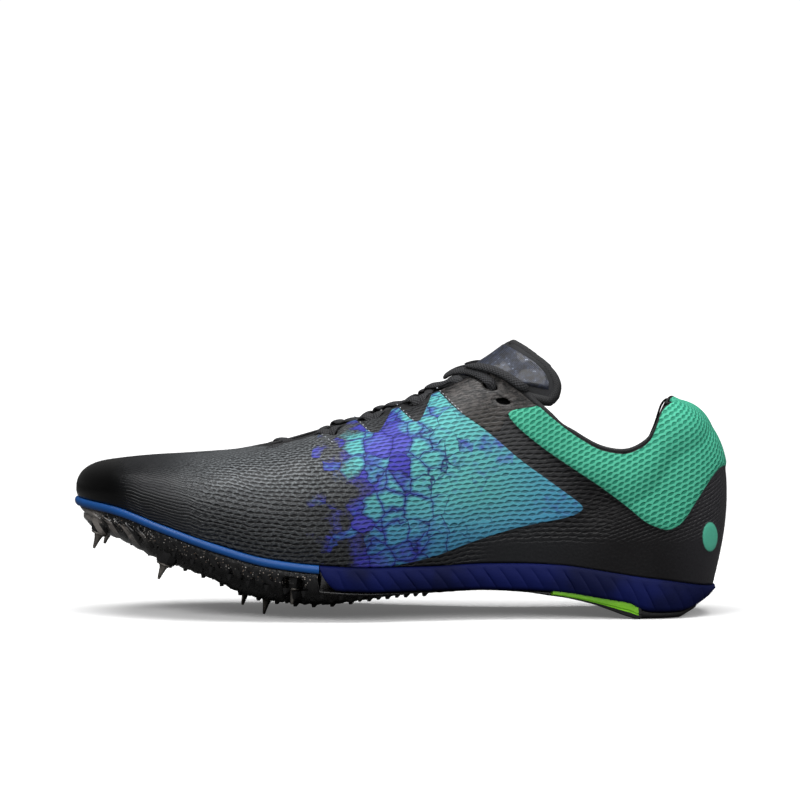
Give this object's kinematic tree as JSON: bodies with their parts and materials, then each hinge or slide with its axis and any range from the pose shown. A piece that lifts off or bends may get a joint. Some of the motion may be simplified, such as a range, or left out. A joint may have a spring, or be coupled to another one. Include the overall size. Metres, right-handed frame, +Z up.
{
  "type": "track spike shoe",
  "caption": "Low track spike shoe for the left foot: hollow knit upper with tongue and lacing, ribbed midsole and hard forefoot plate with screw-in spikes.",
  "frame": {"origin": "middle of the flat spot under the heel, on the floor", "axes": "+Z up, +X from toe to heel, -Y to the lateral (outer) side, toe pointing to -X"},
  "size_m": [0.2829, 0.0966, 0.1172],
  "materials": {
    "upper_knit": "satin",
    "tongue_fabric": "matte",
    "lining": "matte",
    "rim_foam": "satin",
    "plate_plastic": "gloss",
    "midsole_foam": "satin",
    "arch_rubber": "satin",
    "tread_rubber": "matte",
    "quarter_skin": "satin",
    "eyestay_film": "satin",
    "collar_knit": "matte",
    "lace_cord": "matte",
    "spike_steel": "satin"
  },
  "bodies": {
    "root": {"upper": "upper_knit", "tongue": "tongue_fabric", "insole": "lining", "forefoot_rim": "rim_foam", "spike_plate": "plate_plastic", "midsole": "midsole_foam", "arch_piece": "arch_rubber", "heel_tread": "tread_rubber", "quarter_skin_lateral": "quarter_skin", "quarter_skin_medial": "quarter_skin", "eyestay_film_lateral": "eyestay_film", "eyestay_film_medial": "eyestay_film", "collar_panel": "collar_knit", "lace_crossings": "lace_cord", "lace_end_lateral": "lace_cord", "lace_end_medial": "lace_cord", "spike_toe_lateral": "spike_steel", "spike_toe_medial": "spike_steel", "spike_front_lateral": "spike_steel", "spike_front_medial": "spike_steel", "spike_ball_medial": "spike_steel", "spike_ball_centre": "spike_steel", "spike_ball_lateral": "spike_steel"}
  },
  "joints": []
}
